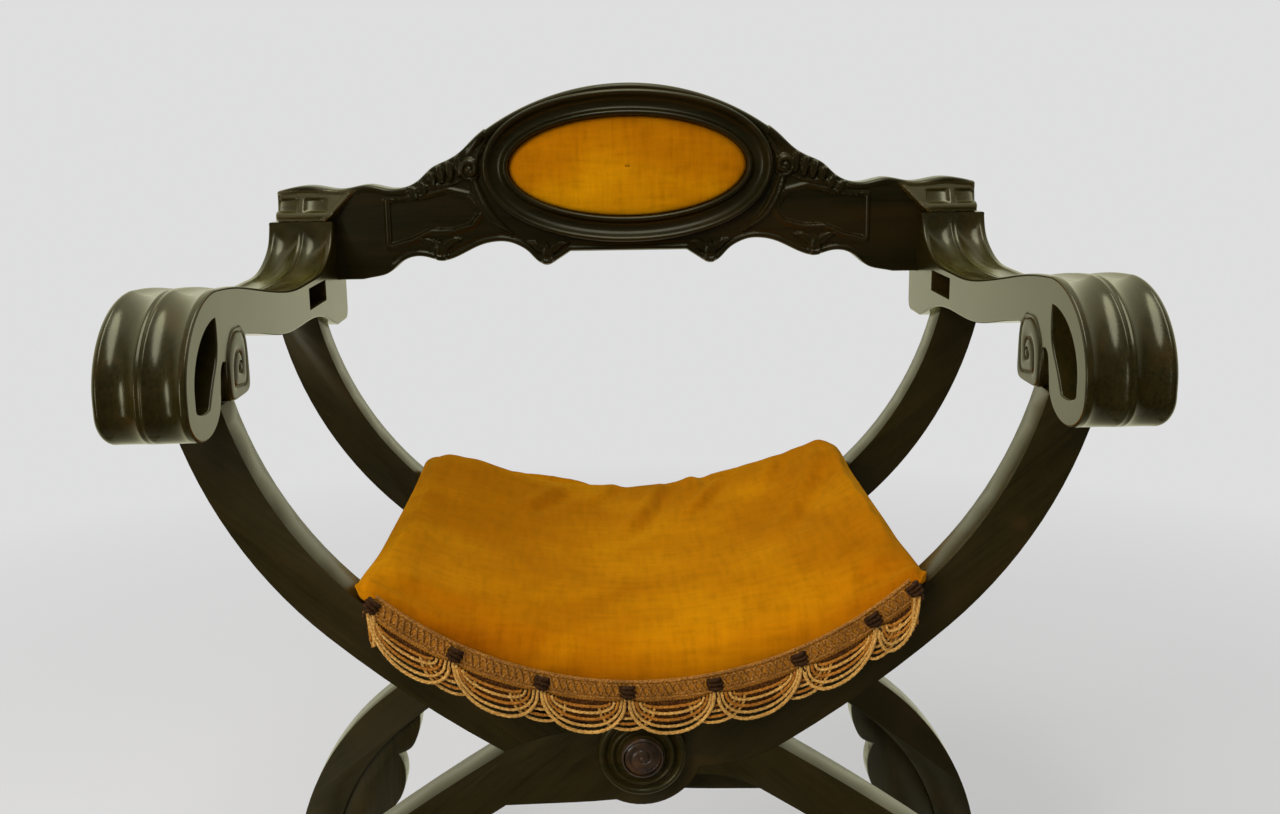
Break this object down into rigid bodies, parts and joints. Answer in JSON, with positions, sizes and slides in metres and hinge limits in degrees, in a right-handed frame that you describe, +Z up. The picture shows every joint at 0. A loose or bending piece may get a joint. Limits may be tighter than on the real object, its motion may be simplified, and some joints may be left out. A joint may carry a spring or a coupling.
{
  "type": "savonarola chair",
  "caption": "Folding X-frame armchair with S-shaped legs, scrolled arms, a lift-off carved back with an oval pad, and a velvet sling seat with a fringe.",
  "frame": {"origin": "middle of the chair's box, on the floor", "axes": "+Z up, +Y from the front of the chair to its back, +X to the right as seen from the front"},
  "size_m": [0.7202, 0.517, 0.8949],
  "materials": {
    "stained_wood": "black-brown stain under gloss polish",
    "dowel_wood": "plain beech",
    "board_wood": "matt stain",
    "steel": "dull",
    "velvet": "golden ochre velvet",
    "fringe": "braid and looped cord, pale orange and cream",
    "nail_heads": "dark knots over nail heads",
    "webbing": "canvas sling"
  },
  "bodies": {
    "fixed_half": {"arm_left": "stained_wood", "front_leg_left": "stained_wood", "back_leg_left": "stained_wood", "runner_right": "stained_wood", "seat_rail_left": "stained_wood", "pivot_rod": "steel", "pivot_nuts": "steel", "boss_caps": "stained_wood", "front_boss": "stained_wood", "back_boss": "stained_wood", "centre_stretcher": "stained_wood", "arm_dowels_left": "dowel_wood", "foot_dowels_right": "dowel_wood", "knee_carvings_right": "stained_wood", "backrest_pin_left": "steel", "seat_sling": "webbing", "seat_pad": "velvet", "fringe_braid": "fringe", "fringe_cords": "fringe", "fringe_nails": "nail_heads"},
    "folding_half": {"arm_right": "stained_wood", "front_leg_right": "stained_wood", "back_leg_right": "stained_wood", "runner_left": "stained_wood", "seat_rail_right": "stained_wood", "arm_dowels_right": "dowel_wood", "foot_dowels_left": "dowel_wood", "knee_carvings_left": "stained_wood", "backrest_pin_right": "steel"},
    "backrest": {"back_panel": "stained_wood", "oval_frame": "stained_wood", "oval_board": "board_wood", "oval_pad": "velvet", "board_screws": "steel"}
  },
  "joints": [
    {"name": "frame_fold", "type": "hinge", "parent": "fixed_half", "child": "folding_half", "pos_m": [0, 0, 0.395], "axis": [0, -1, 0], "range_deg": [0, 60], "deforming": ["seat_sling", "seat_pad", "fringe_braid", "fringe_cords", "fringe_nails"]},
    {"name": "backrest_lift", "type": "slide", "parent": "fixed_half", "child": "backrest", "axis": [0, 0, 1], "range_m": [0, 0.63]}
  ],
  "couplings": [
    {"joint": "backrest_lift", "follows": "frame_fold", "m_per_rad": 0.6}
  ]
}
